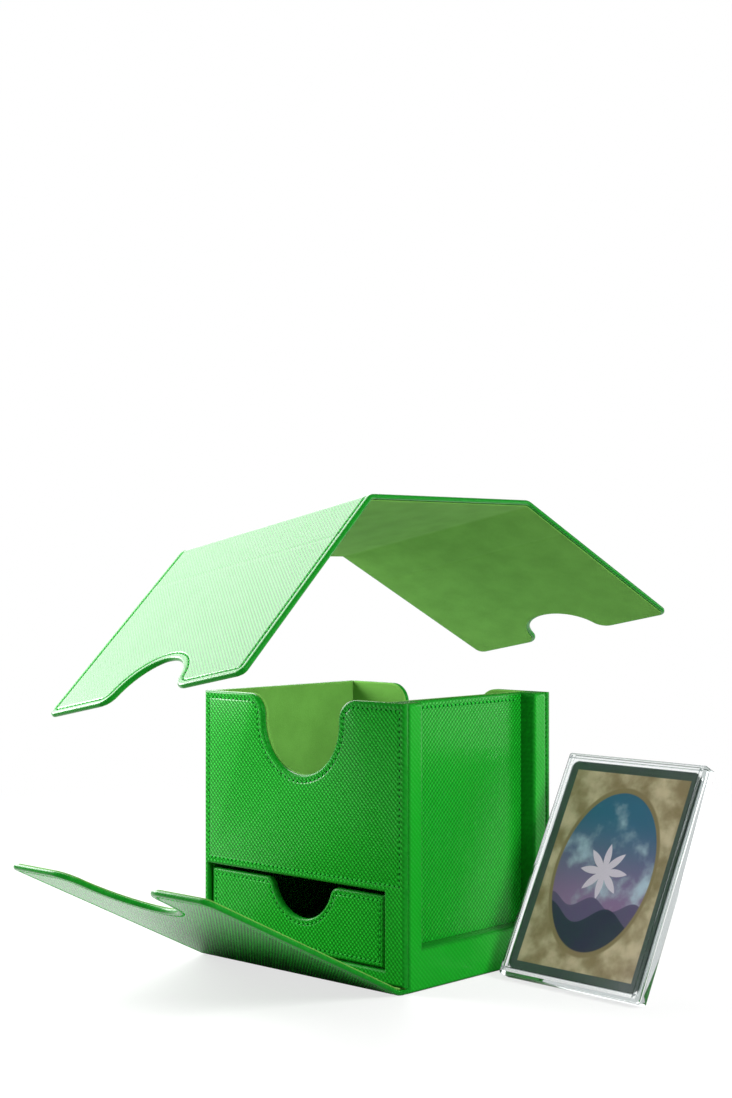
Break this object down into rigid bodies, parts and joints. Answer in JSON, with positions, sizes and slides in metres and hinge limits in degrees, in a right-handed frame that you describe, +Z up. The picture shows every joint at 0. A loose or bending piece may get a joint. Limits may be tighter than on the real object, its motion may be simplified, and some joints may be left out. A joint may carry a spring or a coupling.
{
  "type": "deck box with drawer",
  "caption": "Leather-covered card deck box with a notched front, a token drawer, a fold-down front flap, a loose lid with folding flaps and a clear card casing for its side recess.",
  "frame": {"origin": "middle of the underside of the box's bottom panel", "axes": "+X along the front from left to right, the front faces -Y, +Z up"},
  "size_m": [0.201, 0.2825, 0.1899],
  "materials": {
    "leatherette": "embossed grain, satin",
    "suede": "short suede nap, matte",
    "magnet": "nickel plated",
    "clear_acrylic": "polished clear plastic",
    "card": "coated card"
  },
  "bodies": {
    "box": {"bottom_panel": "leatherette", "bottom_lining": "suede", "base_board": "leatherette", "shelf": "leatherette", "left_wall": "leatherette", "right_wall": "leatherette", "recess_front_post": "leatherette", "recess_back_post": "leatherette", "recess_ledge": "leatherette", "front_panel": "leatherette", "front_panel_magnets": "magnet", "back_panel": "leatherette", "back_panel_magnets": "magnet", "front_inner_board": "suede", "back_inner_board": "suede", "left_inner_board": "suede", "right_inner_board": "suede", "compartment_floor_lining": "suede"},
    "drawer": {"drawer_front": "leatherette", "drawer_left_side": "leatherette", "drawer_right_side": "leatherette", "drawer_back": "leatherette", "drawer_bottom": "leatherette", "drawer_lining": "suede"},
    "lower_fold": {"lower_fold_roll": "leatherette"},
    "lower_flap": {"lower_flap_cover": "leatherette", "lower_flap_lining": "suede", "lower_flap_magnets": "magnet"},
    "lid": {"lid_top_cover": "leatherette", "lid_top_lining": "suede", "lid_front_fold_roll": "leatherette", "lid_back_fold_roll": "leatherette"},
    "lid_front_upper": {"lid_front_upper_cover": "leatherette", "lid_front_upper_lining": "suede", "lid_front_crease_roll": "leatherette"},
    "lid_front_lower": {"lid_front_lower_cover": "leatherette", "lid_front_lower_lining": "suede", "lid_front_magnets": "magnet"},
    "lid_back_upper": {"lid_back_upper_cover": "leatherette", "lid_back_upper_lining": "suede", "lid_back_crease_roll": "leatherette"},
    "lid_back_lower": {"lid_back_lower_cover": "leatherette", "lid_back_lower_lining": "suede", "lid_back_magnets": "magnet"},
    "casing": {"casing_back": "clear_acrylic", "display_card": "card"},
    "casing_cover": {"casing_front": "clear_acrylic"}
  },
  "joints": [
    {"name": "drawer_slide", "type": "slide", "parent": "box", "child": "drawer", "axis": [0, -1, 0], "range_m": [0, 0.042]},
    {"name": "lower_flap_fold", "type": "hinge", "parent": "box", "child": "lower_fold", "pos_m": [0, -0.0469, 0.0013], "axis": [1, 0, 0], "range_deg": [-64, 0]},
    {"name": "lower_flap_drop", "type": "hinge", "parent": "lower_fold", "child": "lower_flap", "pos_m": [0, -0.0469, 0.0013], "axis": [1, 0, 0], "range_deg": [0, 26]},
    {"name": "lid_lift", "type": "hinge", "parent": "box", "child": "lid", "pos_m": [-0.35, 0, 0.09], "axis": [0, -1, 0], "range_deg": [-11, 0]},
    {"name": "lid_front_fold", "type": "hinge", "parent": "lid", "child": "lid_front_upper", "pos_m": [-0.01055, -0.0499, 0.17799], "axis": [-0.9816, 0, -0.1908], "range_deg": [-50.5, 39.5]},
    {"name": "lid_front_crease", "type": "hinge", "parent": "lid_front_upper", "child": "lid_front_lower", "pos_m": [-0.00752, -0.06919, 0.16238], "axis": [-0.9816, 0, -0.1908], "range_deg": [0, 75]},
    {"name": "lid_back_fold", "type": "hinge", "parent": "lid", "child": "lid_back_upper", "pos_m": [-0.01055, 0.047, 0.17799], "axis": [0.9816, 0, 0.1908], "range_deg": [-61.5, 28.5]},
    {"name": "lid_back_crease", "type": "hinge", "parent": "lid_back_upper", "child": "lid_back_lower", "pos_m": [-0.00828, 0.06897, 0.16628], "axis": [0.9816, 0, 0.1908], "range_deg": [0, 75]},
    {"name": "casing_lean", "type": "hinge", "parent": "box", "child": "casing", "pos_m": [0.0987, 0.0039, 0], "axis": [0.9983, -0.0576, 0], "range_deg": [-62.25, 27.75]},
    {"name": "casing_open", "type": "slide", "parent": "casing", "child": "casing_cover", "axis": [-0.0509, -0.8835, 0.4656], "range_m": [0, 0.015]}
  ],
  "couplings": [
    {"joint": "lower_flap_drop", "follows": "drawer_slide", "rad_per_m": 10.804}
  ]
}
